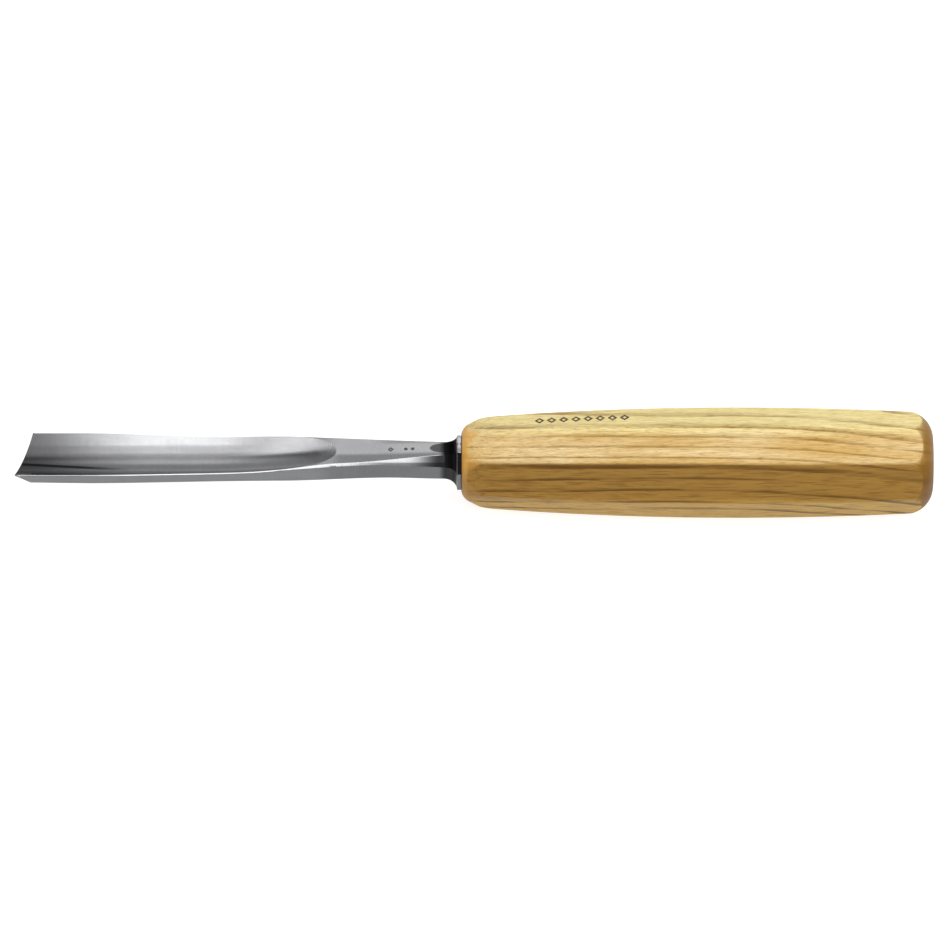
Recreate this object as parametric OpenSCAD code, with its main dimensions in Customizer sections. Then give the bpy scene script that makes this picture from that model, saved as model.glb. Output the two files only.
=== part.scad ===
// Carving gouge: one forged blade with its tang, an octagonal ash handle and the ring let into
// the handle's mouth. The tool axis is X: the cutting edge points to -X, the handle's butt to +X,
// and the channel opens to +Z. The origin is the centre of the flat butt face. Millimetres.

/* [Blade] */
// Length from the handle's front face to the middle of the cutting edge
blade_l = 121.8; // [95:0.1:150]
// Width of the blade at the cutting edge
blade_w = 16.4; // [13:0.1:20]
// Width where the blade starts to narrow towards the shank
waist_w = 14; // [11:0.1:18]
// Distance from the handle to that narrowing
waist_from_handle = 62; // [50:0.5:75]
// Distance from the handle to where the blade reaches its full width
full_width_from_handle = 105; // [80:0.5:120]
// Height of the blade's top edges over the tool axis
blade_top = 3.45; // [2.8:0.05:4]
// Thickness of the blade's wall in the middle of the cutting end
blade_wall = 2.65; // [2:0.05:3.5]
// Width of the flat that breaks the long top edges
edge_break = 0.3; // [0.1:0.05:0.6]
// Distance from the tool axis to the blade's lower slanting flats
blade_lower_flat = 5.55; // [5:0.05:7]
// Distance from that axis to those flats where the blade's back begins
waist_lower_flat = 4.9; // [4.5:0.05:5.5]
// Distance from the handle to that place
back_from_handle = 50; // [42:0.5:60]

/* [Channel and edge] */
// Radius of the channel across the blade, which is the sweep
sweep_r = 18.5; // [15:0.1:30]
// Depth of the channel at the cutting edge
channel_depth = 1.8; // [1:0.05:2.2]
// Distance from the handle to where the channel's floor starts to rise
scoop_from_handle = 73.8; // [62:0.5:90]
// Radius of the rising floor, seen from the side
scoop_r = 245; // [180:1:320]
// Angle that the outside bevel makes with the channel
bevel_angle = 30; // [20:0.5:40]
// Angle that the cutting edge leans away from square, seen from above
edge_skew = 16; // [0:0.5:20]
// Flat left at the very edge by honing
honed_land = 0.05; // [0.02:0.01:0.2]

/* [Shank and bolster] */
// Width of the shank between its side flats
shank_w = 9.7; // [8:0.1:11.6]
// Distance from the handle to where the shank starts to widen
shank_from_handle = 20; // [15:0.5:28]
// Height of the shank's top over the tool axis
shank_top = 4.8; // [4:0.05:5.4]
// Distance from the handle to where the top is down to the shank's height, and starts to fall
// further towards the blade
top_falls_from_handle = 33; // [20:0.5:40]
// Height of the neck's top over the tool axis
neck_top = 5.75; // [5:0.05:6.5]
// Depth of the neck's flat bottom under the tool axis
neck_bottom = 3.9; // [3.2:0.05:5]
// Distance from the tool axis to the neck's upper slanting flats
neck_upper_flat = 5.7; // [5.2:0.05:6.4]
// Angle at which those flats spread from the tool axis
upper_flat_spread = 2.1; // [0.5:0.1:4]
// Distance from the tool axis to the neck's lower slanting flats
neck_lower_flat = 4.4; // [4:0.05:5]
// Distance from the tool axis to those flats where the shank starts to widen
shank_lower_flat = 4.1; // [3.9:0.05:4.6]
// Radius of the rounded back where it starts, at the handle
back_r = 8; // [6.5:0.1:10]
// How far that back lies under the neck's flat bottom
back_under_neck = 0.6; // [0.4:0.05:1.5]
// Bolster size across its flats
bolster_af = 15; // [13.5:0.1:18]
// Thickness of the bolster's rim
bolster_rim = 1.2; // [0.8:0.05:2]
// Length of the bolster with its hollow flare
bolster_l = 4.9; // [3.5:0.1:6]

/* [Tang and ring] */
// Length of the tang inside the handle
tang_l = 62; // [45:1:75]
// Size of the square tang at the bolster
tang_root = 6.6; // [5.5:0.1:7.5]
// Size of the square tang at its end
tang_tip = 3.4; // [2.5:0.1:5]
// Length of the ring let into the handle's mouth
ring_l = 9; // [6:0.5:14]
// How far the ring stays inside the bolster's flats
ring_inset = 1; // [0.5:0.1:1.3]
// Gap between parts that are driven together
drive_gap = 0.05; // [0.03:0.01:0.1]
// Gap left between the tang's end and the bottom of its hole
tang_end_gap = 2; // [0.5:0.5:5]

/* [Handle] */
// Length of the handle
handle_l = 131; // [105:1:160]
// Distance from the butt to the handle's thickest place
belly_from_butt = 55; // [40:1:65]
// Size across the flats at the thickest place
handle_af = 28.5; // [26:0.1:34]
// How much the size across the flats falls along the long curve to the front
front_taper = 5.9; // [3:0.1:7.4]
// How much the size across the flats falls along the long curve to the butt
butt_taper = 2.8; // [0.4:0.1:5.4]
// Length over which the flats draw in towards the front
draw_in_l = 9.1; // [5:0.1:11]
// Radius of that drawing in
draw_in_r = 29.6; // [28:0.1:120]
// How far the turned front face stands out past the bolster's flats
front_lip = 0.6; // [0.1:0.05:1]
// Length of the turned rounding at the front
front_round_l = 3.9; // [2.5:0.1:3.9]
// Radius of that rounding
front_round_r = 4; // [4:0.1:6]
// Slope at which the rounding runs out through the flats
front_run_out = 27; // [15:1:32]
// Diameter of the flat butt face
butt_face_d = 16.2; // [15:0.1:20]
// Length of the turned rounding at the butt
butt_round_l = 7.5; // [6.5:0.1:12]

/* [Hidden] */
$fn = 96;
FINE = 192;
VERY_FINE = 1800;

STEEL = "#c2c5c8";
ASH = "#e3c287";
RING_STEEL = "#8b8e92";

// Reach of slabs and cutters, well past any part of the tool
span = 80;
past = 1;
HALF_SIDE = 22.5;

floor_z = blade_top - channel_depth;
channel_z = floor_z + sweep_r;
blade_end = blade_l + blade_w / 2 * tan(edge_skew) + past;
ring_od = bolster_af - 2 * ring_inset;
ring_id = sqrt(2) * tang_root + 4 * drive_gap;

// Smooth step from 0 at a to 1 at b
function ease(s, a, b) = let (t = min(1, max(0, (s - a) / (b - a)))) t * t * (3 - 2 * t);
function mix(a, b, t) = a + (b - a) * t;
// How far a circle of radius r falls at a distance d from its top
function sag(r, d) = r - sqrt(r * r - d * d);
// The circle that falls by drop over a length
function arc_r(length, drop) = (length * length + drop * drop) / 2 / drop;
function reversed(list) = [for (i = [len(list) - 1:-1:0]) list[i]];

// A long slab between an upper and a lower outline, turned by angle about the tool axis.
// An outline is a list of [place along the axis, distance from the axis].
module slab(angle, upper, lower) {
    rotate([angle, 0, 0])
        linear_extrude(height = span, center = true)
            polygon(concat(upper, reversed([for (p = lower) [p[0], -p[1]]])));
}

// ---- Blade: octagonal sections, where s is the distance from the handle's front face ----
// The outlines' facets have three lengths, so that their ends don't all meet in one section
SIDE_FACET = 3;
TOP_FACET = 3.3;
SLANT_FACET = 3.7;
FLARE_STEPS = 6;
flare_l = bolster_l - bolster_rim;
function stations(facet) = concat(
    [0],
    [for (i = [0:FLARE_STEPS]) bolster_rim + flare_l * (1 - cos(90 * i / FLARE_STEPS))],
    [for (s = [bolster_l + facet:facet:blade_end - facet / 2]) s],
    [blade_end]);

// 1 on the bolster's rim, falling along a hollow quarter round to 0 on the neck
function flare(s) =
    s <= bolster_rim ? 1 : s >= bolster_l ? 0 : sag(1, (bolster_l - s) / flare_l);
function half_width(s) =
    let (body_w = mix(shank_w, waist_w, ease(s, shank_from_handle, waist_from_handle)))
    mix(body_w, blade_w, ease(s, waist_from_handle, full_width_from_handle)) / 2;
function top_z(s) =
    let (shank_z = mix(neck_top, shank_top, ease(s, 0, top_falls_from_handle)))
    mix(shank_z, blade_top, ease(s, top_falls_from_handle, waist_from_handle));
// The flat bottom rises to half its depth at the cutting edge
function bottom_z(s) = neck_bottom * (1 - s / blade_l / 2);
// The upper slanting flats leave the neck and thin out to the break of the top edges
function upper_flat(s) =
    let (edge = (half_width(s) + top_z(s) - edge_break) / sqrt(2))
    let (neck = neck_upper_flat + max(0, s - bolster_l) * tan(upper_flat_spread))
    min(edge, neck);
// The lower slanting flats draw in from the neck to the shank, then spread in two long steps
function lower_flat(s) =
    let (shank = mix(neck_lower_flat, shank_lower_flat, ease(s, bolster_l, shank_from_handle)))
    let (waist = mix(shank, waist_lower_flat, ease(s, shank_from_handle, back_from_handle)))
    mix(waist, blade_lower_flat, ease(s, back_from_handle, full_width_from_handle));

// A point of an outline, on a flat that flares out to the bolster's rim
function flared(s, flat) = [s, mix(flat, bolster_af / 2, flare(s))];

module octagonal_forging() {
    sides = [for (s = stations(SIDE_FACET)) flared(s, half_width(s))];
    tops = [for (s = stations(TOP_FACET)) flared(s, top_z(s))];
    bottoms = [for (s = stations(TOP_FACET)) flared(s, bottom_z(s))];
    uppers = [for (s = stations(SLANT_FACET)) flared(s, upper_flat(s))];
    lowers = [for (s = stations(SLANT_FACET)) flared(s, lower_flat(s))];
    intersection() {
        slab(0, sides, sides);
        slab(90, tops, bottoms);
        slab(45, uppers, lowers);
        slab(135, uppers, lowers);
    }
}

// The rounded back is a long cone, which follows the sweep at the cutting edge
module back_cone() {
    edge_r = sweep_r + blade_wall;
    start_z = -neck_bottom - back_under_neck;
    widening = atan((edge_r - back_r) / blade_l);
    tilt = widening + atan((floor_z - blade_wall - start_z) / blade_l);
    length = blade_end + span / 2;
    translate([-back_r * sin(tilt), 0, start_z + back_r * cos(tilt)])
        rotate([0, 90 - tilt, 0])
            cylinder(h = length, r1 = back_r, r2 = back_r + length * tan(widening), $fn = FINE);
}

module outside_of_back() {
    difference() {
        translate([bolster_l, -span / 2, -span / 2])
            cube([blade_end, span, span]);
        back_cone();
    }
}

// A level half round that rises at its inner end, like the path of a wheel
module channel() {
    rise_angle = asin((scoop_from_handle - bolster_l) / scoop_r);
    translate([scoop_from_handle, 0, channel_z])
        rotate([0, 90, 0])
            cylinder(h = blade_end, r = sweep_r, $fn = FINE);
    translate([scoop_from_handle, 0, floor_z + scoop_r])
        rotate([90, -90 - rise_angle, 0])
            rotate_extrude(angle = rise_angle, $fn = VERY_FINE)
                translate([scoop_r - sweep_r, 0])
                    circle(r = sweep_r, $fn = FINE);
}

// Everything in front of the cutting edge and outside of the bevel's cone
module outside_of_bevel() {
    reach = (blade_wall + edge_break + past) / tan(bevel_angle);
    cone_l = reach + past;
    translate([blade_l, 0, channel_z])
        rotate([0, 0, -edge_skew])
            difference() {
                translate([-reach, -span / 2, -span / 2])
                    cube([reach + span, span, span]);
                rotate([0, -90, 0])
                    cylinder(
                        h = cone_l,
                        r1 = sweep_r + honed_land,
                        r2 = sweep_r + honed_land + cone_l * tan(bevel_angle),
                        $fn = FINE);
            }
}

// A square taper behind the bolster, which is the tang, or with a gap the hole for it
module square_taper(gap, start, end_gap) {
    half_root = tang_root / 2 + gap;
    half_tip = tang_tip / 2 + gap;
    side = [[start, half_root], [0, half_root], [-tang_l - end_gap, half_tip]];
    intersection() {
        slab(0, side, side);
        slab(90, side, side);
    }
}

// Puts a module that is built from the handle's front face towards the edge in its place
module forwards() {
    translate([-handle_l, 0, 0])
        rotate([0, 0, 180])
            children();
}

module gouge_blade() {
    color(STEEL)
        forwards() {
            difference() {
                octagonal_forging();
                outside_of_back();
                channel();
                outside_of_bevel();
            }
            square_taper(0, bolster_rim / 2, 0);
        }
}

// ---- Handle: eight long curved flats, then turned at both ends ----
ROUND_STEPS = 10;
belly_u = handle_l - belly_from_butt;
flat_slice = 6;
handle_stations = concat(
    [-past],
    [for (i = [0:8]) draw_in_l * i / 8],
    [for (u = [draw_in_l + flat_slice:flat_slice:handle_l - flat_slice / 2]) u],
    [handle_l, handle_l + past]);

// Half the size across the flats at a distance u from the front face
function half_flats(u) =
    let (front_r = arc_r(belly_u, front_taper / 2))
    let (rear_r = arc_r(belly_from_butt, butt_taper / 2))
    let (long_curve = u < belly_u ? sag(front_r, belly_u - u) : sag(rear_r, u - belly_u))
    handle_af / 2 - long_curve - sag(draw_in_r, min(draw_in_l, max(0, draw_in_l - u)));

// The turned outline: a flat front, a rounding and a run-out, then the butt's rounding and face
module turned_body() {
    front_face_r = bolster_af / 2 + front_lip;
    front_turn = asin(front_round_l / front_round_r);
    front_c = front_face_r - front_round_r * cos(front_turn);
    front = [
        for (i = [0:ROUND_STEPS])
        let (a = mix(front_turn, front_run_out, i / ROUND_STEPS))
        [front_c + front_round_r * cos(a), front_round_l - front_round_r * sin(a)]];
    run_out_end = front[ROUND_STEPS] + (handle_af - front[ROUND_STEPS][0])
        * [1, 1 / tan(front_run_out)];

    butt_r = butt_face_d / 2;
    butt_top = half_flats(handle_l - butt_round_l) / cos(HALF_SIDE) + drive_gap;
    butt_round_r = arc_r(butt_round_l, butt_top - butt_r);
    butt_turn = asin(butt_round_l / butt_round_r);
    butt_end = handle_l - butt_round_l;
    butt = [
        for (i = [0:ROUND_STEPS])
        let (a = mix(0, butt_turn, i / ROUND_STEPS))
        [butt_top - sag(butt_round_r, butt_round_r * sin(a)), butt_end + butt_round_r * sin(a)]];

    rotate([0, 90, 0])
        rotate_extrude($fn = FINE)
            polygon(concat(
                [[0, 0]],
                front,
                [run_out_end, [handle_af, butt_end]],
                butt,
                [[0, handle_l]]));
}

module eight_flats(flats) {
    intersection() {
        slab(HALF_SIDE, flats, flats);
        slab(HALF_SIDE + 45, flats, flats);
        slab(HALF_SIDE + 90, flats, flats);
        slab(HALF_SIDE + 135, flats, flats);
    }
}

module handle() {
    flats = [for (u = handle_stations) [u, half_flats(u)]];
    color(ASH)
        difference() {
            translate([-handle_l, 0, 0])
                intersection() {
                    eight_flats(flats);
                    turned_body();
                }
            forwards()
                square_taper(drive_gap, past, tang_end_gap);
            translate([-handle_l - past, 0, 0])
                rotate([0, 90, 0])
                    cylinder(h = past + ring_l + drive_gap, d = ring_od + 2 * drive_gap);
        }
}

module inner_ring() {
    color(RING_STEEL)
        translate([-handle_l, 0, 0])
            rotate([0, 90, 0])
                difference() {
                    cylinder(h = ring_l, d = ring_od);
                    translate([0, 0, -past])
                        cylinder(h = ring_l + 2 * past, d = ring_id);
                }
}

gouge_blade();
handle();
inner_ring();
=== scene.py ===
"""A carving gouge: a forged, swept blade in an octagonal ash handle, on a pale floor."""

from __future__ import annotations

import logging
import math
from dataclasses import dataclass
from enum import Enum
from typing import Sequence

import bmesh
import bpy
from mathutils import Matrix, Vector


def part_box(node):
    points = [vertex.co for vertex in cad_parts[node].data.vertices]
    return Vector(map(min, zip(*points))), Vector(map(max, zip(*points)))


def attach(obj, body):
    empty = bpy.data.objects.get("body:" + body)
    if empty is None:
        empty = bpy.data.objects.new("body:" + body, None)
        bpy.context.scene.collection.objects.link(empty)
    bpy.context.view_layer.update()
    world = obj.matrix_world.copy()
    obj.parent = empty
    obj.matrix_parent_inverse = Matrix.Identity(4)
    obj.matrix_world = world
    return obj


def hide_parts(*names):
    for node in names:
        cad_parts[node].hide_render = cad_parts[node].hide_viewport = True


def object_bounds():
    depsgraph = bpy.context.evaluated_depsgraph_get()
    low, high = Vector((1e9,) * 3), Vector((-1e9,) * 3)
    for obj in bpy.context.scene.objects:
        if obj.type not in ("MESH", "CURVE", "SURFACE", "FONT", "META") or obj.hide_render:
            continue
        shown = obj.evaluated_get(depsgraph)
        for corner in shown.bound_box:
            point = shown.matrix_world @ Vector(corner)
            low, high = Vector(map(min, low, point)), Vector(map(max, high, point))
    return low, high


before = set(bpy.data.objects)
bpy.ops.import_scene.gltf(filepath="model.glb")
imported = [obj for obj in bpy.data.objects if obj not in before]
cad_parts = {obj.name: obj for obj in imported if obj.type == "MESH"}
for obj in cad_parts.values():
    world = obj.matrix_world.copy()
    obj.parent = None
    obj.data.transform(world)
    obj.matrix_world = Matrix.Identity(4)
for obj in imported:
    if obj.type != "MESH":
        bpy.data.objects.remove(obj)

Point = tuple[float, float]
Place = tuple[float, float, float]
Colour = tuple[float, float, float, float]

LOG = logging.getLogger("gouge")
MM = 0.001
BODY = "root"
CAD_LOW, CAD_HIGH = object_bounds()
SHARP_ANGLE = 50.0  # degrees; an edge that turns further stays crisp
WHITE = (1.0, 1.0, 1.0, 1.0)


def clamp(value: float, low: float = 0.0, high: float = 1.0) -> float:
    """Keep a value between two limits."""
    return max(low, min(high, value))


def ease(value: float, start: float, end: float) -> float:
    """Smooth step of a value from 0 at start to 1 at end."""
    t = clamp((value - start) / (end - start))
    return t * t * (3 - 2 * t)


def mix(a: float, b: float, t: float) -> float:
    """Value that is a share t of the way from a to b."""
    return a + (b - a) * t


def sag(radius: float, distance: float) -> float:
    """How far a circle falls at a distance from its top."""
    return radius - math.sqrt(max(0.0, radius * radius - distance * distance))


def arc_radius(length: float, drop: float) -> float:
    """Radius of the circle that falls by drop over a length."""
    return (length * length + drop * drop) / 2 / drop


def soft_min(a: float, b: float, width: float) -> float:
    """Lower of two heights, with the corner between them rounded over a width."""
    overlap = max(0.0, 1 - abs(a - b) / width)
    return min(a, b) - overlap * overlap * width / 4


def soft_max(a: float, b: float, width: float) -> float:
    """Higher of two heights, with the corner between them rounded over a width."""
    return -soft_min(-a, -b, width)


def steps(start: float, end: float, pitch: float) -> list[float]:
    """Evenly spaced places from start up to but not including end, about a pitch apart."""
    count = max(1, round((end - start) / pitch))
    return [mix(start, end, i / count) for i in range(count)]


# ---------------------------------------------------------------- meshes


class LoftedPiece:
    """A closed mesh grown ring by ring from a circle of vertices, extruded and placed again."""

    def __init__(self, name: str, sides: int) -> None:
        """Start the piece.

        Args:
            name: Name of the object.
            sides: Number of vertices in each ring.
        """
        self.name = name
        self.sides = sides
        self.mesh = bmesh.new()
        self.rings: list[list[bmesh.types.BMVert]] = []

    def ring(self, points: Sequence[Place]) -> None:
        """Add a ring of vertices.

        Args:
            points: Places of the ring's vertices in millimetres, in order round the ring.
        """
        if not self.rings:
            made = bmesh.ops.create_circle(self.mesh, segments=self.sides, radius=1.0)
            verts = list(made["verts"])
        else:
            last = self.rings[-1]
            edges = [self.mesh.edges.get((a, b)) for a, b in zip(last, last[1:] + last[:1])]
            grown = bmesh.ops.extrude_edge_only(self.mesh, edges=edges)
            fresh = {v for v in grown["geom"] if isinstance(v, bmesh.types.BMVert)}
            verts = [
                next(e.other_vert(v) for e in v.link_edges if e.other_vert(v) in fresh)
                for v in last
            ]
        for vert, point in zip(verts, points):
            vert.co = Vector(point) * MM
        self.rings.append(verts)

    def _chain(self, ring: int, places: Sequence[int]) -> list[bmesh.types.BMEdge]:
        """Edges of a ring that join neighbouring places of a list."""
        verts = [self.rings[ring][i] for i in places]
        return [self.mesh.edges.get(pair) for pair in zip(verts, verts[1:])]

    def cap(self, ring: int) -> None:
        """Close a ring with one flat face."""
        edges = self._chain(ring, [*range(self.sides), 0])
        bmesh.ops.contextual_create(self.mesh, geom=edges)

    def zip_up(self, ring: int, upper: Sequence[int], lower: Sequence[int]) -> None:
        """Close a ring that is a thin curved strip, given its places along either side."""
        edges = self._chain(ring, upper) + self._chain(ring, lower)
        bmesh.ops.bridge_loops(self.mesh, edges=edges)

    def _settle(self) -> None:
        """Put the vertices, edges and faces in order round the rings, the same in every run."""
        for i, vert in enumerate(vert for ring in self.rings for vert in ring):
            vert.index = i
        for parts in (self.mesh.edges, self.mesh.faces):
            ranked = sorted(parts, key=lambda part: sorted(vert.index for vert in part.verts))
            for i, part in enumerate(ranked):
                part.index = i
        for parts in (self.mesh.verts, self.mesh.edges, self.mesh.faces):
            parts.sort()

    def finish(self) -> bpy.types.Object:
        """Turn the work into an object with smooth shading and crisp edges.

        Returns:
            The object, at the origin.
        """
        bmesh.ops.recalc_face_normals(self.mesh, faces=self.mesh.faces[:])
        if self.mesh.calc_volume(signed=True) < 0:
            bmesh.ops.reverse_faces(self.mesh, faces=self.mesh.faces[:])
        self._settle()
        data = bpy.data.meshes.new(self.name)
        for face in self.mesh.faces:
            face.smooth = True
        for edge in self.mesh.edges:
            edge.smooth = edge.calc_face_angle(0.0) < math.radians(SHARP_ANGLE)
        self.mesh.to_mesh(data)
        self.mesh.free()
        piece = bpy.data.objects.new(self.name, data)
        bpy.context.scene.collection.objects.link(piece)
        return piece


# ---------------------------------------------------------------- shader maths


class Signal:
    """A shader socket that can be used in Python expressions."""

    def __init__(self, tree: Recipe, socket: bpy.types.NodeSocket) -> None:
        """Wrap an output socket of a node in a recipe's tree."""
        self.tree = tree
        self.socket = socket

    def _math(
        self, operation: str, *others: Signal | float, first: float | None = None
    ) -> Signal:
        """Add a Math node with this signal as its first input, or as its second after a number."""
        values = [self, *others] if first is None else [first, self, *others]
        return self.tree.node("ShaderNodeMath", {"operation": operation}, dict(enumerate(values)))

    def __add__(self, other: Signal | float) -> Signal:
        """Sum of this and another."""
        return self._math("ADD", other)

    __radd__ = __add__

    def __sub__(self, other: Signal | float) -> Signal:
        """This less another."""
        return self._math("SUBTRACT", other)

    def __rsub__(self, other: float) -> Signal:
        """A number less this."""
        return self._math("SUBTRACT", first=other)

    def __mul__(self, other: Signal | float) -> Signal:
        """Product of this and another."""
        return self._math("MULTIPLY", other)

    __rmul__ = __mul__

    def __truediv__(self, other: Signal | float) -> Signal:
        """This divided by another."""
        return self._math("DIVIDE", other)

    def magnitude(self) -> Signal:
        """Size of this without its sign."""
        return self._math("ABSOLUTE")

    def fraction(self) -> Signal:
        """Part of this after the decimal point."""
        return self._math("FRACT")

    def root(self) -> Signal:
        """Square root of this."""
        return self._math("SQRT")

    def most(self, other: Signal | float) -> Signal:
        """Larger of this and another."""
        return self._math("MAXIMUM", other)

    def ramp(self, start: float, end: float, low: float = 0.0, high: float = 1.0) -> Signal:
        """Smooth step of this, from low at start to high at end."""
        inputs = {"Value": self, "From Min": start, "From Max": end, "To Min": low, "To Max": high}
        return self.tree.node("ShaderNodeMapRange", {"interpolation_type": "SMOOTHSTEP"}, inputs)


def linear(red: int, green: int, blue: int) -> Colour:
    """Scene-linear colour of an sRGB colour.

    Args:
        red: Red from 0 to 255.
        green: Green from 0 to 255.
        blue: Blue from 0 to 255.

    Returns:
        The colour.
    """

    def channel(value: float) -> float:
        """Scene-linear share of one channel."""
        share = value / 255
        return share / 12.92 if share <= 0.04045 else ((share + 0.055) / 1.055) ** 2.4

    return (channel(red), channel(green), channel(blue), 1.0)


class Mixing(str, Enum):
    """How a layer of colour goes over another."""

    COVER = "MIX"
    DARKEN = "MULTIPLY"


class Recipe:
    """A node tree for one finish, with one method that adds any node."""

    def __init__(self, name: str) -> None:
        """Start a material with a Principled shader.

        Args:
            name: Name of the material.
        """
        self.material = bpy.data.materials.new(name)
        self.material.use_nodes = True
        self.tree = self.material.node_tree
        self.shader = self.tree.nodes["Principled BSDF"]

    def node(
        self,
        kind: str,
        settings: dict[str, object] | None = None,
        inputs: dict[str | int, object] | None = None,
        output: str | int = 0,
    ) -> Signal:
        """Add a node.

        Args:
            kind: Type of the node.
            settings: Properties set before its sockets.
            inputs: Values or signals for its sockets, by name or number.
            output: Name or number of the wanted output.

        Returns:
            The wanted output.
        """
        made = self.tree.nodes.new(kind)
        for key, value in (settings or {}).items():
            setattr(made, key, value)
        for key, value in (inputs or {}).items():
            self.feed(made.inputs[key], value)
        return Signal(self, made.outputs[output])

    def feed(self, socket: bpy.types.NodeSocket, value: object) -> None:
        """Set a socket to a value, or link a signal to it.

        Args:
            socket: Input socket of a node.
            value: Value or signal.
        """
        if isinstance(value, Signal):
            self.tree.links.new(value.socket, socket)
        else:
            socket.default_value = value

    def dress(self, **inputs: object) -> bpy.types.Material:
        """Set the Principled shader's sockets.

        Args:
            inputs: Socket names, with underscores for spaces, and their values or signals.

        Returns:
            The finished material.
        """
        for key, value in inputs.items():
            self.feed(self.shader.inputs[key.replace("_", " ")], value)
        return self.material

    def place(self) -> Signal:
        """Object coordinates."""
        return self.node("ShaderNodeTexCoord", output="Object")

    def facing(self) -> Signal:
        """Surface normal in the object's own axes."""
        return self.node("ShaderNodeTexCoord", output="Normal")

    def split(self, vector: Signal) -> tuple[Signal, Signal, Signal]:
        """Three numbers of a vector."""
        outputs = self.node("ShaderNodeSeparateXYZ", inputs={0: vector}).socket.node.outputs
        return tuple(Signal(self, outputs[i]) for i in range(3))

    def join(self, x: Signal | float, y: Signal | float, z: Signal | float) -> Signal:
        """Vector of three numbers."""
        return self.node("ShaderNodeCombineXYZ", inputs={0: x, 1: y, 2: z})

    def stretched(self, vector: Signal, scale: Place) -> Signal:
        """Vector scaled along each axis."""
        return self.node("ShaderNodeMapping", inputs={"Vector": vector, "Scale": scale})

    def noise(
        self,
        vector: Signal,
        scale: float | Place,
        detail: float = 2.0,
        roughness: float = 0.5,
    ) -> Signal:
        """Noise from 0 to 1.

        Args:
            vector: Place of the noise.
            scale: Grains to the metre, the same along every axis or one number for each.
            detail: How many finer layers it has.
            roughness: How strong they are.

        Returns:
            The noise.
        """
        if isinstance(scale, tuple):
            vector, scale = self.stretched(vector, scale), 1.0
        inputs = {"Vector": vector, "Scale": scale, "Detail": detail, "Roughness": roughness}
        return self.node("ShaderNodeTexNoise", inputs=inputs)

    def blend(
        self, share: Signal | float, a: object, b: object, mode: Mixing = Mixing.COVER
    ) -> Signal:
        """Colour a with a share of colour b over it."""
        settings = {"data_type": "RGBA", "blend_type": mode.value, "clamp_factor": True}
        return self.node("ShaderNodeMix", settings, {0: share, 6: a, 7: b}, output=2)

    def layers(self, base: object, *coats: tuple) -> Signal:
        """Colour with coats over it.

        Args:
            base: First colour or signal.
            coats: For each coat how much of it there is, its colour and, if it darkens, its mixing.

        Returns:
            The finished colour.
        """
        for share, colour, *mode in coats:
            base = self.blend(share, base, colour, *mode)
        return base

    def bump(self, height: Signal, depth_mm: float, strength: float = 1.0) -> Signal:
        """Normal of a surface that a height from 0 to 1 raises by a depth in millimetres."""
        inputs = {"Height": height, "Distance": depth_mm * MM, "Strength": strength}
        return self.node("ShaderNodeBump", inputs=inputs)


# ---------------------------------------------------------------- finishes


class Slot(str, Enum):
    """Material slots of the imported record."""

    BLADE = "blade_steel"
    WOOD = "ash_wood"
    RING = "ring_steel"


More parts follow.
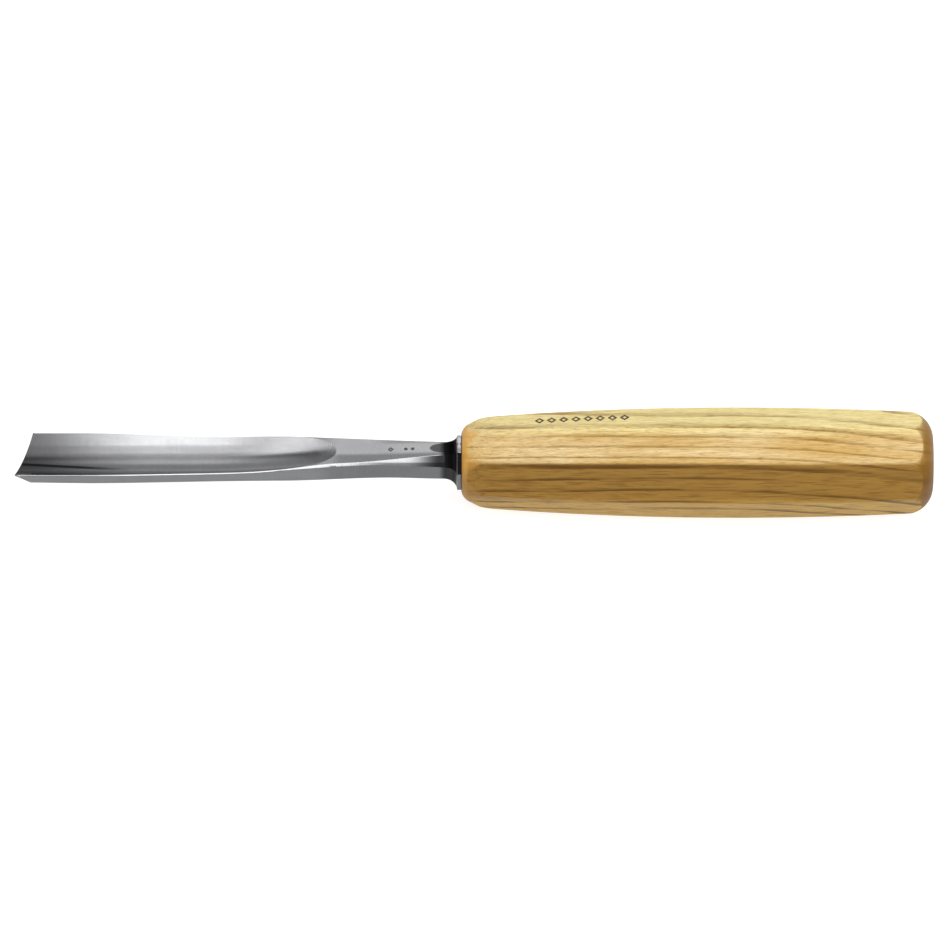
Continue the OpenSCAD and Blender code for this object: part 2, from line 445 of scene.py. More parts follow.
@dataclass(frozen=True)
class GroundSteel:
    """Forged tool steel, ground and polished, with fine lines left by the wheel."""

    name: str = "ground_steel"
    tone: Colour = (0.44, 0.442, 0.445, 1.0)
    # Painted shade: the side flats are coloured darker than the top.
    painted_side_shade: Colour = (0.2, 0.203, 0.209, 1.0)
    # scale: near-black for painted shade and dark reflections, and for the punched marks.
    scale: Colour = (0.009, 0.009, 0.01, 1.0)
    # Painted light: the top of the shank is coloured lighter.
    painted_top_light: Colour = (0.57, 0.572, 0.577, 1.0)
    # rim: painted highlight on the top of the bolster's rim.
    rim: Colour = (0.74, 0.745, 0.755, 1.0)
    # Painted dark reflection on the shank's top, next to the neck.
    dark_reflection_tone: Colour = (0.06, 0.06, 0.065, 1.0)
    clouded: Colour = (0.92, 0.92, 0.93, 1.0)
    scored: Colour = (0.86, 0.86, 0.87, 1.0)
    roughness: float = 0.17
    line_depth: float = 0.0004
    marks_at: tuple[float, ...] = ()
    marks_y: float = 0.0002
    mark_z: float = 0.0
    front_x: float = -0.131

    def material(self) -> bpy.types.Material:
        """Build the steel. The limits of its masks are millimetres, or shares of a surface normal.

        Returns:
            The material.
        """
        recipe = Recipe(self.name)
        place = recipe.place()
        x, y, z = recipe.split(place)
        _, ny, nz = recipe.split(recipe.facing())
        behind = (self.front_x - x) * 1000
        across = y * 1000
        aside = ny.magnitude()
        # Flats, and the stretches of the blade along them.
        side = aside.ramp(0.8, 0.95)
        slant = aside.ramp(0.6, 0.68) * aside.ramp(0.8, 0.72)
        top = nz.ramp(0.96, 0.985)
        shank = behind.ramp(42.0, 34.0)
        # Painted highlight on the top of the bolster's rim.
        painted_rim_highlight = behind.ramp(1.5, 1.3) * nz.ramp(0.8, 0.95)
        # Painted shade and dark reflections: black in the neck's hollow and on the slanting flats
        # near it, darker edges on the shank's top, and a darker channel near the cutting edge.
        hollow = behind.ramp(6.6, 4.4) * behind.ramp(1.15, 1.35) * (1.0 - side * 0.15)
        hollow = hollow.most(behind.ramp(16.0, 6.0) * slant * 0.95)
        hollow = hollow.most(behind.ramp(1.5, 1.4) * slant * ny.ramp(0.0, -0.1))
        # Painted shade along the edges of the shank's top.
        painted_edge_shade = across.ramp(-0.7, -2.1) * 0.5
        painted_edge_shade = painted_edge_shade.most(across.ramp(1.8, 3.0) * behind.ramp(26.0, 18.0) * 0.3)
        painted_edge_shade = painted_edge_shade * top * behind.ramp(39.0, 33.0)
        # Painted shade on the slanting flats near the neck, below their top line.
        below = (across.magnitude() - z * 1000) * math.sqrt(0.5)
        slope = slant * below.ramp(-0.5, 0.1) * behind.ramp(33.0, 20.0)
        # Painted shade on the slanting flats near the cutting edge.
        leading = slant * behind.ramp(90.0, 104.0)
        # Painted dark reflection: a dark line along the channel near the cutting edge.
        painted_dark_line = (across + 2.7 + (118.0 - behind) * 0.085).magnitude().ramp(0.8, 0.35)
        painted_dark_line = painted_dark_line * behind.ramp(90.0, 106.0) * nz.ramp(0.85, 0.9)
        # Painted shade in the channel near the cutting edge.
        painted_tip_shade = behind.ramp(86.0, 122.0) * nz.ramp(0.8, 0.88)
        # Painted dark reflection on the shank's top.
        dark_reflection = self._dark_reflection(behind, across, nz)
        marks = self._marks(x, y, z)
        # Wheel marks: across the blade and channel, along the shank and the sides.
        cloud = recipe.noise(place, (90.0, 260.0, 260.0), detail=3.0)
        lines = recipe.noise(place, (5200.0, 260.0, 260.0), detail=3.0, roughness=0.6)
        long_lines = recipe.noise(place, (70.0, 6000.0, 6000.0))
        tone = recipe.layers(
            self.tone,
            (side, self.painted_side_shade),
            (top * shank, self.painted_top_light),
            (painted_rim_highlight, self.rim),
            (painted_edge_shade, self.scale),
            (slope * 0.72, self.scale),
            (leading * 0.55, self.scale),
            (painted_dark_line * 0.85, self.scale),
            # Painted shade on the sides of the shank.
            (side * shank * 0.24, self.scale),
            (cloud.ramp(0.3, 0.75), self.clouded, Mixing.DARKEN),
            (lines.ramp(0.3, 0.7) * 0.5, self.scored, Mixing.DARKEN),
            (painted_tip_shade * 0.75, self.scale),
            (dark_reflection * 0.85, self.dark_reflection_tone),
            # Painted shade: the neck's hollow in near-black.
            (hollow, self.scale),
            (marks * 0.8, self.scale),
        )
        grain = recipe.blend(shank.most(side), long_lines, lines)
        roughness = grain.ramp(0.2, 0.8, self.roughness * 0.9, self.roughness * 1.15)
        roughness = roughness + cloud * 0.02 + shank * 0.1 + hollow * 0.12 - dark_reflection * 0.05
        return recipe.dress(
            Base_Color=tone,
            Metallic=1.0,
            Roughness=roughness,
            Normal=recipe.bump(grain, self.line_depth),
        )

    @staticmethod
    def _dark_reflection(behind: Signal, across: Signal, nz: Signal) -> Signal:
        """Painted dark reflection: an oval on top of the shank, next to the neck.

        Args:
            behind: Distance from the handle in millimetres.
            across: Distance from the tool axis in millimetres.
            nz: Upward share of the surface normal.

        Returns:
            The oval's mask.
        """
        lengthways, sideways = (behind - 5.4) / 3.4, (across - 0.3) / 1.7
        reach = (lengthways * lengthways + sideways * sideways).root()
        return reach.ramp(1.06, 0.9) * nz.ramp(0.75, 0.85)

    def _marks(self, x: Signal, y: Signal, z: Signal) -> Signal:
        """Small punched marks on the top of the shank: an open lozenge, then dots.

        Args:
            x: Place along the tool in metres.
            y: Place across it.
            z: Height.

        Returns:
            The marks' mask.
        """
        above = z.ramp(self.mark_z - 0.0006, self.mark_z - 0.0003)
        total = above * 0.0
        across = (y - self.marks_y) * 1000
        for i, at in enumerate(self.marks_at):
            along = (x - at) * 1000
            if i == 0:
                reach = along.magnitude() + across.magnitude()
                shape = reach.ramp(0.95, 0.8) - reach.ramp(0.35, 0.2)
            else:
                shape = (along * along + across * across).root().ramp(0.6, 0.45)
            total = total.most(shape)
        return total * above


@dataclass(frozen=True)
class RolledSteel:
    """Plain dark steel of the ring let into the handle."""

    name: str = "rolled_steel"
    tone: Colour = (0.26, 0.265, 0.27, 1.0)
    dull: Colour = (0.11, 0.1, 0.1, 1.0)
    line_depth: float = 0.004

    def material(self) -> bpy.types.Material:
        """Build the ring's steel.

        Returns:
            The material.
        """
        recipe = Recipe(self.name)
        place = recipe.place()
        scale = recipe.noise(place, (900.0, 900.0, 900.0), detail=4.0)
        lines = recipe.noise(place, (6000.0, 300.0, 300.0))
        return recipe.dress(
            Base_Color=recipe.blend(scale.ramp(0.35, 0.7), self.tone, self.dull),
            Metallic=1.0,
            Roughness=scale.ramp(0.3, 0.7, 0.32, 0.5),
            Normal=recipe.bump(lines, self.line_depth),
        )


@dataclass(frozen=True)
class AshWood:
    """Oiled ash: pale late wood with open-pored darker early wood, browner on the end grain."""

    name: str = "oiled_ash"
    pale: Colour = linear(246, 221, 166)
    painted_light: Colour = linear(255, 240, 172)
    warm: Colour = linear(222, 184, 108)
    dark: Colour = linear(156, 112, 44)
    # Painted shade: darker copies of the wood and its streaks for the lower near half.
    painted_shade: Colour = linear(170, 130, 58)
    # under: painted bounce light, lighter, on the underside.
    under: Colour = linear(206, 168, 84)
    streak: Colour = linear(150, 112, 40)
    shaded_streak: Colour = linear(96, 62, 8)
    end_grain: Colour = linear(238, 178, 84)
    painted_shade_butt: Colour = linear(138, 92, 4)
    burn_and_joint_shadow: Colour = linear(70, 42, 24)
    exposure: float = 0.84
    ring_pitch: float = 3.0
    pith: float = 60.0
    ring_angle: float = 52.0
    bend: float = 0.0011
    bend_from: float = 65.0
    front_x: float = -0.131
    pore_depth: float = 0.02
    motif_from: float = 20.0
    motif_pitch: float = 3.375
    motif_count: int = 8
    motif_y: float = 5.0
    motif_z: float = 12.0

    def _tint(self, colour: Colour) -> Colour:
        """Colour lowered by the finish's exposure."""
        return (*(channel * self.exposure for channel in colour[:3]), 1.0)

    def material(self) -> bpy.types.Material:
        """Build the wood. Its rings, bent with the tree, are circles round a pith under the handle.

        Returns:
            The material.
        """
        recipe = Recipe(self.name)
        place = recipe.place()
        x, y, z = recipe.split(place)
        nx, ny, _ = recipe.split(recipe.facing())
        # Distance from the pith, counted in years.
        wander = recipe.noise(place, (9.0, 60.0, 60.0)) - 0.5
        waver = recipe.noise(place, (40.0, 260.0, 260.0)) - 0.5
        along = x * 1000
        angle = math.radians(self.ring_angle)
        drift = (along + self.bend_from).most(0.0)
        lift = (y * math.cos(angle) + z * math.sin(angle)) * 1000
        across = (y * math.sin(angle) - z * math.cos(angle)) * 1000
        height = self.pith - lift - drift * drift * self.bend
        distance = (across * across + height * height).root() + wander * 2.2 + waver * 0.5
        uneven = recipe.noise(recipe.join(distance * 0.31, 0.0, 0.0), 1.0, detail=0.0) * 3.4
        year = ((distance + uneven) / self.ring_pitch).fraction()
        # Painted shade over the lower near half, with shaded copies of the wood's colours, and
        # lighter painted bounce light on the underside; then the grain.
        painted_shade = (lift + wander * 0.8).ramp(2.5, 1.2)
        under = (lift + wander * 2.0).ramp(-7.5, -10.5)
        broken = recipe.noise(place, (26.0, 420.0, 420.0)).ramp(0.32, 0.62, 0.12, 1.0)
        early = year.ramp(0.6, 0.9) * year.ramp(1.0, 0.95) * broken
        pores = recipe.noise(place, (380.0, 5200.0, 5200.0), detail=1.0).ramp(0.56, 0.66)
        fibre = recipe.noise(place, (120.0, 3800.0, 3800.0), detail=3.0, roughness=0.6)
        flecks = recipe.noise(place, (120.0, 2300.0, 2300.0)).ramp(0.5, 0.68)
        patch = recipe.noise(place, (22.0, 150.0, 150.0), detail=3.0)
        band = recipe.noise(place, (9.0, 210.0, 210.0), detail=1.0).ramp(0.48, 0.66)
        # Painted shadow: a thin dark band at the handle's front, where it meets the bolster.
        mouth = (along - self.front_x * 1000).ramp(0.3, 0.1)
        motif = self._motif(recipe, along, y * 1000, z * 1000, ny)
        warm, dark = self._tint(self.warm), self._tint(self.dark)
        shaded_streak, burn_and_joint_shadow = self._tint(self.shaded_streak), self._tint(self.burn_and_joint_shadow)
        streak = recipe.blend(painted_shade, self._tint(self.streak), shaded_streak)
        body = recipe.layers(
            self._tint(self.pale),
            (patch.ramp(0.35, 0.7), warm),
            # Painted light: the far upper flats coloured paler.
            (lift.ramp(8.0, 12.0), self._tint(self.painted_light)),
            (painted_shade, self._tint(self.painted_shade)),
            (band * painted_shade * 0.4, shaded_streak),
            # Painted bounce light on the underside.
            (under, self._tint(self.under)),
            (pores * (early * 0.55 + 0.4), dark),
            (fibre.ramp(0.3, 0.7) * 0.4, warm, Mixing.DARKEN),
            (early * (painted_shade * 0.1 + 0.75), streak),
            (flecks * (early * 0.35 + painted_shade * 0.15 + 0.25), streak),
        )
        # End grain; the butt end and the lower near side are painted darker as shade.
        ends = recipe.layers(
            self._tint(self.end_grain),
            (nx.ramp(-0.05, 0.05), self._tint(self.painted_shade_butt)),
            (lift.ramp(2.5, -5.0) * 0.55, shaded_streak),
            (patch.ramp(0.4, 0.65) * 0.35, self._tint(self.streak)),
        )
        end = nx.magnitude().ramp(0.12, 0.75)
        # The burn colour is the painted shadow at the joint and the real burned lozenges.
        tone = recipe.layers(body, (end * 0.92, ends), (mouth * 0.8, burn_and_joint_shadow), (motif, burn_and_joint_shadow))
        return recipe.dress(
            Base_Color=tone,
            Roughness=fibre.ramp(0.25, 0.75, 0.42, 0.58),
            Normal=recipe.bump(fibre * 0.5 + pores * -0.8, self.pore_depth, 0.6),
            Specular_IOR_Level=0.2,
            Coat_Weight=0.02,
            Coat_Roughness=0.35,
        )

    def _motif(self, recipe: Recipe, along: Signal, y: Signal, z: Signal, ny: Signal) -> Signal:
        """Burned row of open lozenges on the far upper flat, near the front.

        Args:
            recipe: The wood's recipe.
            along: Place along the handle in millimetres.
            y: Place across it.
            z: Height.
            ny: Share of the surface normal that points to the far side.

        Returns:
            The row's mask.
        """
        tilt = math.pi / 8
        first = along - (self.front_x * 1000 + self.motif_from)
        length = self.motif_pitch * self.motif_count
        across = (y - self.motif_y) * math.cos(tilt) - (z - self.motif_z) * math.sin(tilt)
        cell = ((first / self.motif_pitch).fraction() - 0.5) * self.motif_pitch
        reach = cell.magnitude() * 1.35 + across.magnitude()
        inside = first.ramp(-0.05, 0.05) * first.ramp(length + 0.05, length - 0.05)
        smudge = recipe.noise(recipe.place(), 1500.0, detail=3.0).ramp(0.25, 0.5, 0.65, 1.0)
        return (reach.ramp(2.1, 1.7) - reach.ramp(0.95, 0.6)) * inside * ny.ramp(0.2, 0.3) * smudge


@dataclass(frozen=True)
class PaleFloor:
    """Plain matt studio floor."""

    name: str = "pale_floor"
    tone: Colour = (0.36, 0.36, 0.36, 1.0)
    glow: float = 0.84

    def material(self) -> bpy.types.Material:
        """Build the floor's material, which also glows, like a light table."""
        return Recipe(self.name).dress(
            Base_Color=self.tone, Roughness=0.9, Emission_Color=WHITE, Emission_Strength=self.glow
        )


# ---------------------------------------------------------------- blade


def mirrored(half: Sequence[Point]) -> list[Point]:
    """Whole outline from the half on one side, whose first and last points are on the middle."""
    return [*half, *[(-y, z) for y, z in half[-2:0:-1]]]


def rounded(points: Sequence[tuple[Point, float]]) -> list[Point]:
    """Round the inner corners of an open outline, with three points for each corner.

    Args:
        points: Corners and their radii. The first and the last stay as they are.

    Returns:
        The rounded outline.
    """
    result = [points[0][0]]
    for (before, _), (corner, radius), (after, _) in zip(points, points[1:], points[2:]):
        here = Vector(corner)
        back, ahead = Vector(before) - here, Vector(after) - here
        turn = math.pi - back.angle(ahead, math.pi)
        reach = min(radius * math.tan(turn / 2), back.length * 0.45, ahead.length * 0.45)
        start, end = here + back.normalized() * reach, here + ahead.normalized() * reach
        middle = (start + end) / 4 + here / 2
        result += [tuple(start), tuple(middle), tuple(end)]
    return result + [points[-1][0]]


@dataclass
class Blade:
    """The forged blade in one piece: tang, bolster, shank and channelled blade. Millimetres."""

    front_x: float
    low_x: float
    width: float = 16.4
    waist_w: float = 14.0
    waist_s: float = 62.0
    full_s: float = 105.0
    blade_top: float = 3.45
    wall: float = 2.65
    edge_break: float = 0.24
    sweep_r: float = 18.5
    channel_depth: float = 1.8
    scoop_s: float = 73.8
    scoop_r: float = 245.0
    bevel: float = 30.0
    skew: float = 16.0
    land: float = 0.05
    shank_w: float = 9.7
    shank_s: float = 20.0
    shank_top: float = 4.8
    top_falls_s: float = 33.0
    neck_top: float = 5.75
    neck_bottom: float = 3.9
    neck_upper: float = 5.7
    upper_spread: float = 0.0367
    neck_lower: float = 4.4
    shank_lower: float = 4.1
    waist_lower: float = 4.9
    back_s: float = 50.0
    blade_lower: float = 5.55
    back_r: float = 8.0
    back_under: float = 0.6
    bolster_af: float = 15.0
    rim: float = 1.2
    bolster_l: float = 4.9
    tang_l: float = 62.0
    tang_root: float = 6.6
    tang_tip: float = 3.4
    tang_chamfer: float = 0.3
    tang_shares: tuple[float, ...] = (1.0, 0.995, 0.75, 0.5, 0.25, 0.0)
    bolster_soft: float = 0.1
    lip_r: float = 0.05
    shoulder_r: float = 0.2
    side_top_r: float = 0.12
    side_low_r: float = 0.3
    heel_r: float = 0.6
    least_side: float = 0.05
    least_land: float = 0.04
    least_lip: float = 0.5
    shear_from: float = 110.0
    channel_columns: int = 14
    back_columns: int = 9
    flare_rings: int = 12
    scoop_rings: int = 17
    scoop_l: float = 14.0
    shank_pitch: float = 1.5
    blade_pitch: float = 1.6
    bevel_rings: int = 8

    @property
    def length(self) -> float:
        """Distance from the handle to the cutting edge's middle, for a leading corner at low_x."""
        return self.front_x - self.low_x - self.width / 2 * math.tan(math.radians(self.skew))

    def half_width(self, s: float) -> float:
        """Half the width at a distance from the handle."""
        body = mix(self.shank_w, self.waist_w, ease(s, self.shank_s, self.waist_s))
        return mix(body, self.width, ease(s, self.waist_s, self.full_s)) / 2

    def floor(self, s: float) -> float:
        """Height of the channel's floor."""
        return self.blade_top - self.channel_depth + sag(self.scoop_r, max(0.0, self.scoop_s - s))

    def channel(self, y: float, s: float) -> float:
        """Height of the channel's surface."""
        return self.floor(s) + sag(self.sweep_r, y)

    def top(self, s: float) -> float:
        """Height of the top flat, or of the top edges where the channel leaves no flat.

        Args:
            s: Distance from the handle.

        Returns:
            The height.
        """
        shank = mix(self.neck_top, self.shank_top, ease(s, 0, self.top_falls_s))
        flat = mix(shank, self.blade_top, ease(s, self.top_falls_s, self.waist_s))
        return min(flat, self.channel(self.half_width(s) - self.edge_break, s))

    def back(self, y: float, s: float) -> float:
        """Height of the underside: flat at the neck, then rounded.

        Args:
            y: Distance from the tool axis, across the blade.
            s: Distance from the handle.

        Returns:
            The height.
        """
        share = s / self.length
        radius = mix(self.back_r, self.sweep_r + self.wall, share)
        thin = self.blade_top - self.channel_depth - self.wall
        low = mix(-self.neck_bottom - self.back_under, thin, share)
        return soft_max(-self.neck_bottom * (1 - share / 2), low + sag(radius, y), 0.2)

    def lower_flat(self, s: float) -> float:
        """Distance of the lower slanting flats from the tool axis.

        Args:
            s: Distance from the handle.

        Returns:
            The distance.
        """
        shank = mix(self.neck_lower, self.shank_lower, ease(s, self.bolster_l, self.shank_s))
        waist = mix(shank, self.waist_lower, ease(s, self.shank_s, self.back_s))
        return mix(waist, self.blade_lower, ease(s, self.back_s, self.full_s))

    def flare(self, s: float) -> float:
        """Share of the bolster in a section: 1 on its rim, then a hollow quarter round to 0."""
        return sag(1, clamp((self.bolster_l - s) / (self.bolster_l - self.rim)))

    def half_outline(self, s: float, inset: float = 0.0) -> list[Point]:
        """Half of a cross-section, from the top's middle round the side to the underside's middle.

        Args:
            s: Distance from the handle's front face.
            inset: How far the section is drawn in, for the softened rim of the bolster.

        Returns:
            Points (y, z), always the same number of them.
        """
        rim = self.bolster_af / 2 - inset
        flare = self.flare(s)
        half = mix(self.half_width(s), rim, flare)
        top = mix(self.top(s), rim, flare)
        spread = self.neck_upper + self.upper_spread * max(0.0, s - self.bolster_l)
        full = (half + top - self.edge_break) / math.sqrt(2)
        upper = mix(min(full, spread), rim, flare) * math.sqrt(2)
        lower = mix(self.lower_flat(s), rim, flare) * math.sqrt(2)

        def under(y: float) -> float:
            """Height of the underside here."""
            return mix(self.back(y, s), -rim, flare)

        def channel(share: float) -> Point:
            """Point of the channel's surface, or of the top flat, a share of the way to the lip."""
            return lip * share, min(top, self.channel(lip * share, s))

        shoulder = (upper - top, top)
        depth = max(0.0, top - self.floor(s))
        lip = math.sqrt(depth * (2 * self.sweep_r - depth))
        lip = max(min(lip, shoulder[0] - self.least_land), self.least_lip)
        side_top = (half, upper - half)
        side_low = (half, max(half - lower, under(half) + self.least_side))
        slant = side_low[0] - side_low[1]
        low, high = 0.0, half
        for _ in range(30):
            middle = (low + high) / 2
            if under(middle) > middle - slant:
                low = middle
            else:
                high = middle
        middle = (low + high) / 2
        heel = (middle, under(middle))
        back = [
            (heel[0] * i / self.back_columns, under(heel[0] * i / self.back_columns))
            for i in range(self.back_columns - 1, -1, -1)
        ]
        inner = [channel(i / self.channel_columns) for i in range(self.channel_columns)]
        corners = rounded([
            (inner[-1], 0.0),
            (channel(1.0), self.lip_r),
            (shoulder, self.shoulder_r),
            (side_top, self.side_top_r),
            ((half, (side_top[1] + side_low[1]) / 2), 0.0),
            (side_low, self.side_low_r),
            (heel, self.heel_r),
            (back[0], 0.0),
        ])
        return inner + corners[1:] + back[1:]

    def _ring(self, half: Sequence[Point], s: float) -> list[Place]:
        """Whole ring at a distance from the handle, from a half outline."""
        return [(self.front_x - s, y, z) for y, z in mirrored(half)]

    def _edge_place(self, y: float) -> float:
        """Distance from the handle to the cutting edge at a place across the blade."""
        return self.length - y * math.tan(math.radians(self.skew))

    def _bevel_start(self, y: float, z: float) -> float:
        """Distance from the handle to where the bevel cuts a line of the outside.

        Args:
            y: Distance of the line from the tool axis, across the blade.
            z: Height of the line.

        Returns:
            The distance.
        """
        centre = self.floor(self.length) + self.sweep_r
        thickness = max(0.0, math.hypot(y, z - centre) - self.sweep_r - self.land)
        return self._edge_place(y) - thickness / math.tan(math.radians(self.bevel))

    def _run_out(self) -> float:
        """Find the inner end of the channel.

        Returns:
            Its distance from the handle.
        """
        low, high = self.shank_s, self.waist_s
        for _ in range(40):
            middle = (low + high) / 2
            if self.top(middle) > self.floor(middle):
                high = middle
            else:
                low = middle
        return high

    def _stations(self) -> list[float]:
        """Place the plain cross-sections, close together where the shape turns quickly.

        Returns:
            Their distances from the handle.
        """
        flare_l = self.bolster_l - self.rim
        quarter = math.pi / 2 / self.flare_rings
        end = self._run_out()
        return [
            *[
                self.rim + 0.04 + (flare_l - 0.04) * (1 - math.cos(quarter * i))
                for i in range(self.flare_rings)
            ],
            *steps(self.bolster_l, end - 0.4, self.shank_pitch),
            end - 0.15,
            *[
                end + self.scoop_l * (i / (self.scoop_rings - 1)) ** 2
                for i in range(self.scoop_rings)
            ],
            *steps(end + self.scoop_l + 1.5, self.shear_from, self.blade_pitch),
        ]

    def build(self) -> bpy.types.Object:
        """Make the blade.

        Returns:
            The object.
        """
        last = mirrored(self.half_outline(self.length))
        work = LoftedPiece("polished_blade", len(last))
        self._forge(work)
        self._grind(work, last)
        work.cap(0)
        lip, size = self.channel_columns, len(last)
        channel = [*range(lip, -1, -1), *range(size - 1, size - lip - 1, -1)]
        work.zip_up(-1, channel, range(lip + 1, size - lip))
        return work.finish()

    def _forge(self, work: LoftedPiece) -> None:
        """Add the tang, the bolster, the shank and the plain part of the blade.

        Args:
            work: The mesh that the rings go to.
        """
        angles = [math.atan2(z, y) for y, z in self.half_outline(self.rim)]
        for share in self.tang_shares:
            half = mix(self.tang_root, self.tang_tip, share) / 2
            half -= self.tang_chamfer if share == 1.0 else 0.0
            reach = [half / max(abs(math.cos(a)), abs(math.sin(a))) for a in angles]
            square = [(r * math.cos(a), r * math.sin(a)) for r, a in zip(reach, angles)]
            work.ring(self._ring(square, -self.tang_l * share))
        soft = self.bolster_soft
        rim = ((0.0, soft), (soft, 0.0), (self.rim - 0.12, 0.0), (self.rim - 0.001, soft))
        for s, inset in rim:
            work.ring(self._ring(self.half_outline(s, inset), s))
        for s in self._stations():
            work.ring(self._ring(self.half_outline(s), s))

    def _grind(self, work: LoftedPiece, last: Sequence[Point]) -> None:
        """Add the end of the blade, whose rings lean over step by step to the skewed edge.

        Args:
            work: The mesh that the rings go to.
            last: Outline of the blade at the cutting edge.
        """
        size, lip = len(last), self.channel_columns
        inside = [i <= lip or i >= size - lip for i in range(size)]
        ends = [
            self._edge_place(y) - 0.3
            if within
            else min(self._bevel_start(y, z), self._edge_place(y) - 0.25)
            for (y, z), within in zip(last, inside)
        ]
        for step in range(self.bevel_rings + 1):
            places = [mix(self.shear_from, end, step / self.bevel_rings) for end in ends]
            work.ring([
                (self.front_x - s, *mirrored(self.half_outline(min(s, self.length)))[i])
                for i, s in enumerate(places)
            ])
        centre = self.floor(self.length) + self.sweep_r
        edge = []
        for (y, z), within in zip(last, inside):
            if not within:
                away = Vector((y, z - centre)).normalized() * (self.sweep_r + self.land)
                y, z = away.x, away.y + centre
            edge.append((self.front_x - self._edge_place(y), y, z))
        work.ring(edge)


# ---------------------------------------------------------------- handle


@dataclass
class Handle:
    """The octagonal handle, turned at both ends, with its bored mouth. Millimetres."""

    front_x: float
    length: float = 131.0
    belly_from_butt: float = 55.0
    across: float = 28.5
    front_af: float = 22.6
    butt_af: float = 25.7
    draw_in_l: float = 9.1
    draw_in_r: float = 29.6
    face_r: float = 8.1
    round_l: float = 3.9
    round_r: float = 4.0
    run_out: float = 27.0
    butt_d: float = 16.2
    butt_l: float = 7.5
    corner_r: float = 0.7
    mouth_d: float = 13.1
    mouth_l: float = 9.05
    hole_l: float = 64.0
    hole_root: float = 6.7
    hole_tip: float = 3.5
    mouth_soft: float = 0.2
    butt_soft: float = 0.1
    blend: float = 0.14
    columns_per_flat: int = 18
    corner_crowding: float = 0.13
    front_turn_l: float = 5.0
    front_pitch: float = 0.12
    draw_in_pitch: float = 0.7
    flat_pitch: float = 3.0
    butt_pitch: float = 0.16

    def half_flats(self, u: float) -> float:
        """Half the size across the flats.

        Args:
            u: Distance behind the front face.

        Returns:
            Distance of the flats from the axis.
        """
        belly = self.length - self.belly_from_butt
        front = arc_radius(belly, (self.across - self.front_af) / 2)
        rear = arc_radius(self.belly_from_butt, (self.across - self.butt_af) / 2)
        curve = sag(front, belly - u) if u < belly else sag(rear, u - belly)
        draw_in = sag(self.draw_in_r, clamp(self.draw_in_l - u, 0, self.draw_in_l))
        return self.across / 2 - curve - draw_in

    def turned(self, u: float) -> float:
        """Radius of the turned outline.

        Args:
            u: Distance behind the front face.

        Returns:
            The radius.
        """
        turn = math.asin(self.round_l / self.round_r)
        centre = self.face_r - self.round_r * math.cos(turn)
        slope = math.radians(self.run_out)
        tangent = self.round_l - self.round_r * math.sin(slope)
        if u < tangent:
            front = centre + math.sqrt(max(0.0, self.round_r**2 - (self.round_l - u) ** 2))
        else:
            front = centre + self.round_r * math.cos(slope) + (u - tangent) * math.tan(slope)
        start = self.length - self.butt_l
        if u <= start:
            return front
        top = self.half_flats(start) / math.cos(math.pi / 8) + 0.05
        radius = arc_radius(self.butt_l, top - self.butt_d / 2)
        return top - sag(radius, u - start)

    def _angles(self) -> list[float]:
        """Place the ring's columns, close together at the eight corners.

        Returns:
            Their angles.
        """
        shares = [i / self.columns_per_flat for i in range(self.columns_per_flat)]
        spread = [
            math.pi / 4 * (t - self.corner_crowding * math.sin(2 * math.pi * t)) for t in shares
        ]
        return [math.pi / 4 * flat + angle for flat in range(8) for angle in spread]

    def _octagon(self, angle: float, apothem: float) -> float:
        """Radius of an octagon with rounded corners, one of which points up.

        Args:
            angle: Angle from the upward corner.
            apothem: Distance of its sides from the axis.

        Returns:
            The radius.
        """
        off = abs((angle + math.pi / 8) % (math.pi / 4) - math.pi / 8)
        centre = (apothem - self.corner_r) / math.cos(math.pi / 8)
        limit = math.atan2(
            self.corner_r * math.sin(math.pi / 8), centre + self.corner_r * math.cos(math.pi / 8)
        )
        if off < limit:
            aside = centre * math.sin(off)
            return centre * math.cos(off) + math.sqrt(self.corner_r**2 - aside**2)
        return apothem / math.cos(math.pi / 8 - off)

    def build(self) -> bpy.types.Object:
        """Make the handle.

        Returns:
            The object.
        """
        angles = self._angles()
        work = LoftedPiece("ash_handle", len(angles))

        def place(u: float, radii: Sequence[float] | float) -> None:
            """Add a ring at a distance behind the front face, with one radius or one a column."""
            each = [radii] * len(angles) if isinstance(radii, float) else radii
            work.ring([
                (self.front_x + u, r * math.sin(a), r * math.cos(a)) for r, a in zip(each, angles)
            ])

        for u, side in ((self.hole_l, self.hole_tip / 2), (self.mouth_l, self.hole_root / 2)):
            place(u, [side / max(abs(math.sin(a)), abs(math.cos(a))) for a in angles])
        place(self.mouth_l, self.mouth_d / 2)
        place(self.mouth_soft, self.mouth_d / 2)
        place(0.0, self.mouth_d / 2 + self.mouth_soft)
        place(0.0, self.face_r - 0.12)
        start, end = self.length - self.butt_l, self.length - 0.05
        for u in [
            *[0.02 + 0.5 * (i / 6) ** 2 for i in range(6)],
            *steps(0.52, self.front_turn_l, self.front_pitch),
            *steps(self.front_turn_l, self.draw_in_l, self.draw_in_pitch),
            *steps(self.draw_in_l, start, self.flat_pitch),
            *steps(start, end, self.butt_pitch),
            end,
        ]:
            flats, turned = self.half_flats(u), self.turned(u)
            place(u, [soft_min(self._octagon(a, flats), turned, self.blend) for a in angles])
        place(self.length, self.butt_d / 2 - self.butt_soft)
        work.cap(0)
        work.cap(-1)
        return work.finish()


# ---------------------------------------------------------------- studio


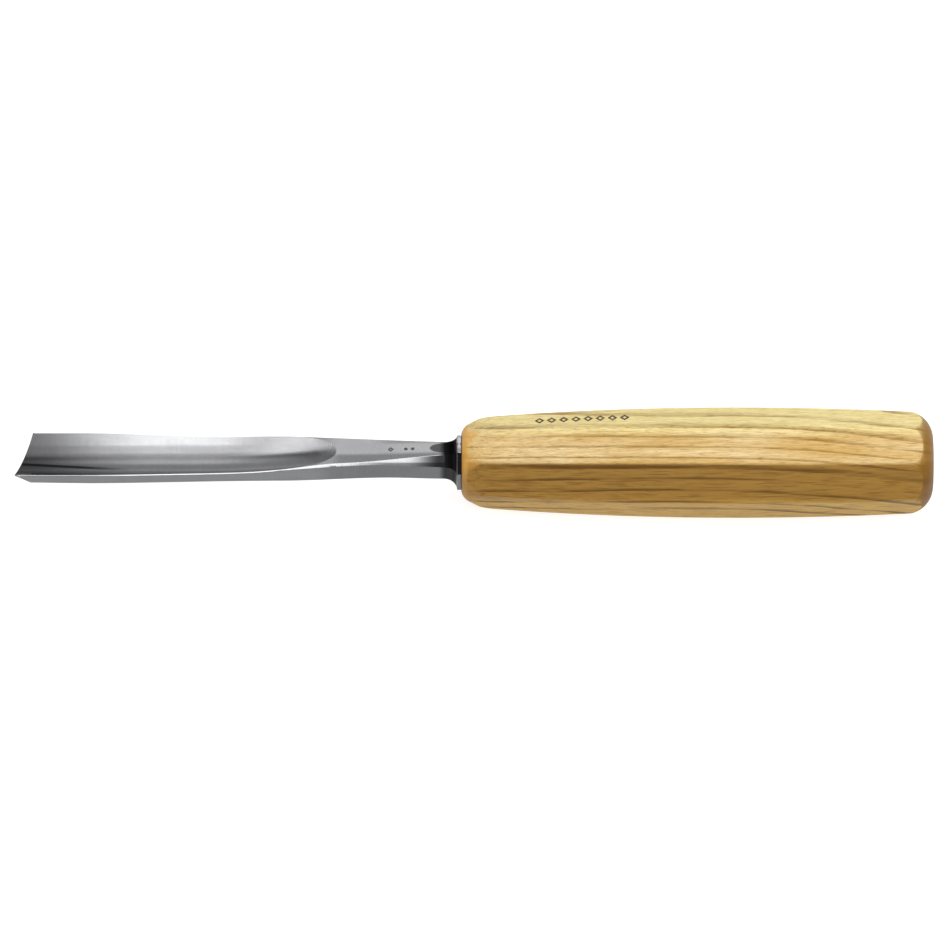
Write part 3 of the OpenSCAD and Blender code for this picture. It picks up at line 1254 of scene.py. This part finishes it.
@dataclass(frozen=True)
class Softbox:
    """A soft rectangular light over the object.

    Its place is given in metres from the object's middle, its radiance in the renderer's units.
    """

    name: str
    place: Place
    size: Point
    radiance: float
    turned: bool = False

    def hang(self, centre: Vector) -> bpy.types.Object:
        """Hang the light so that it faces the object's long axis, or its middle if it is turned.

        Args:
            centre: The object's middle.

        Returns:
            The light.
        """
        data = bpy.data.lights.new(self.name, "AREA")
        data.shape = "RECTANGLE"
        data.size, data.size_y = self.size
        data.energy = self.radiance * math.pi * self.size[0] * self.size[1]
        lamp = bpy.data.objects.new(self.name, data)
        lamp.location = centre + Vector(self.place)
        lamp.rotation_mode = "QUATERNION"
        towards = Vector((-self.place[0] if self.turned else 0.0, -self.place[1], -self.place[2]))
        lamp.rotation_quaternion = towards.to_track_quat("-Z", "Y")
        bpy.context.scene.collection.objects.link(lamp)
        return lamp


@dataclass
class Studio:
    """Pale floor, soft lights and camera."""

    centre: Vector
    floor_z: float
    elevation: float = 47.0
    distance: float = 2.4
    lens: float = 327.0
    sensor: float = 36.0
    farthest: float = 50.0
    drop: float = 0.53 * MM
    floor_half: float = 6.0
    dim: Colour = (0.045, 0.045, 0.05, 1.0)
    lights: tuple[Softbox, ...] = (
        Softbox("overhead", (0.38, -0.2, 0.62), (1.06, 0.82), 2.45),
        Softbox("overhead_far", (0.38, 0.25, 0.62), (1.06, 0.22), 1.3),
        Softbox("overhead_end", (0.38, 0.56, 0.6), (1.06, 0.4), 0.68),
        Softbox("left", (-0.2, -0.03, 0.62), (0.06, 1.1), 2.4),
        Softbox("front", (0.1, -0.8, 0.82), (1.4, 0.3), 0.7),
        Softbox("back", (0.6, 1.15, 0.62), (1.8, 0.7), 0.36),
        Softbox("horizon", (0.3, 1.6, 0.3), (2.6, 0.38), 0.26),
        Softbox("side", (-0.9, -0.1, 0.45), (0.6, 0.5), 2.6, turned=True),
    )

    def floor(self) -> bpy.types.Object:
        """Lay the floor.

        Returns:
            The floor.
        """
        mesh = bmesh.new()
        bmesh.ops.create_grid(mesh, x_segments=1, y_segments=1, size=self.floor_half)
        bmesh.ops.translate(mesh, verts=mesh.verts[:], vec=(0.0, 0.0, self.floor_z))
        data = bpy.data.meshes.new("studio_floor")
        mesh.to_mesh(data)
        mesh.free()
        floor = bpy.data.objects.new("studio_floor", data)
        bpy.context.scene.collection.objects.link(floor)
        floor.data.materials.append(PaleFloor().material())
        return floor

    def camera(self) -> bpy.types.Object:
        """Set the camera up in front of the object and above it.

        Returns:
            The camera.
        """
        angle = math.radians(self.elevation)
        towards = Vector((0.0, -math.cos(angle), math.sin(angle)))
        up = Vector((0.0, math.sin(angle), math.cos(angle)))
        data = bpy.data.cameras.new("camera")
        data.sensor_width = self.sensor
        data.lens = self.lens
        data.clip_end = self.farthest
        camera = bpy.data.objects.new("camera", data)
        camera.location = self.centre + towards * self.distance - up * self.drop
        camera.rotation_mode = "QUATERNION"
        camera.rotation_quaternion = (-towards).to_track_quat("-Z", "Y")
        bpy.context.scene.collection.objects.link(camera)
        bpy.context.scene.camera = camera
        return camera

    def build(self) -> None:
        """Set up the whole studio."""
        scene = bpy.context.scene
        world = bpy.data.worlds.new("studio")
        world.use_nodes = True
        world.node_tree.nodes["Background"].inputs["Color"].default_value = self.dim
        scene.world = world
        scene.view_settings.view_transform = "Standard"
        self.floor()
        for light in self.lights:
            light.hang(self.centre)
        self.camera()


# ---------------------------------------------------------------- the scene


MARKS_FROM_HANDLE = (19.6, 15.4, 13.5)  # millimetres in front of the handle
VIEW_FROM_JOINT = 3.8  # millimetres behind the handle's front face


def main() -> None:
    """Build the gouge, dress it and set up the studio."""
    logging.basicConfig(level=logging.INFO, format="%(message)s")
    handle_low, handle_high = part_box("handle")
    front_x = handle_low.x / MM
    length = (handle_high.x - handle_low.x) / MM
    forging = Blade(front_x=front_x, low_x=CAD_LOW.x / MM)
    blade = forging.build()
    handle = Handle(front_x=front_x, length=length).build()
    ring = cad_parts["inner_ring"]
    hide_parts("gouge_blade")
    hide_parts("handle")
    marks = tuple((front_x - s) * MM for s in MARKS_FROM_HANDLE)
    steel = GroundSteel(marks_at=marks, mark_z=forging.shank_top * MM, front_x=handle_low.x)
    finishes = (
        (blade, steel, Slot.BLADE),
        (handle, AshWood(front_x=handle_low.x), Slot.WOOD),
        (ring, RolledSteel(), Slot.RING),
    )
    for piece, finish, slot in finishes:
        piece.data.materials.clear()
        piece.data.materials.append(finish.material())
        if piece is not ring:
            weighted = piece.modifiers.new("weighted_normals", "WEIGHTED_NORMAL")
            weighted.keep_sharp = True
            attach(piece, BODY)
        LOG.info("%s: %d faces, %s", piece.name, len(piece.data.polygons), finish.name)
    middle = Vector((handle_low.x + VIEW_FROM_JOINT * MM, 0.0, 0.0))
    Studio(centre=middle, floor_z=CAD_LOW.z).build()
    LOG.info("CAD box %s to %s", list(CAD_LOW), list(CAD_HIGH))


if __name__ == "__main__":
    main()
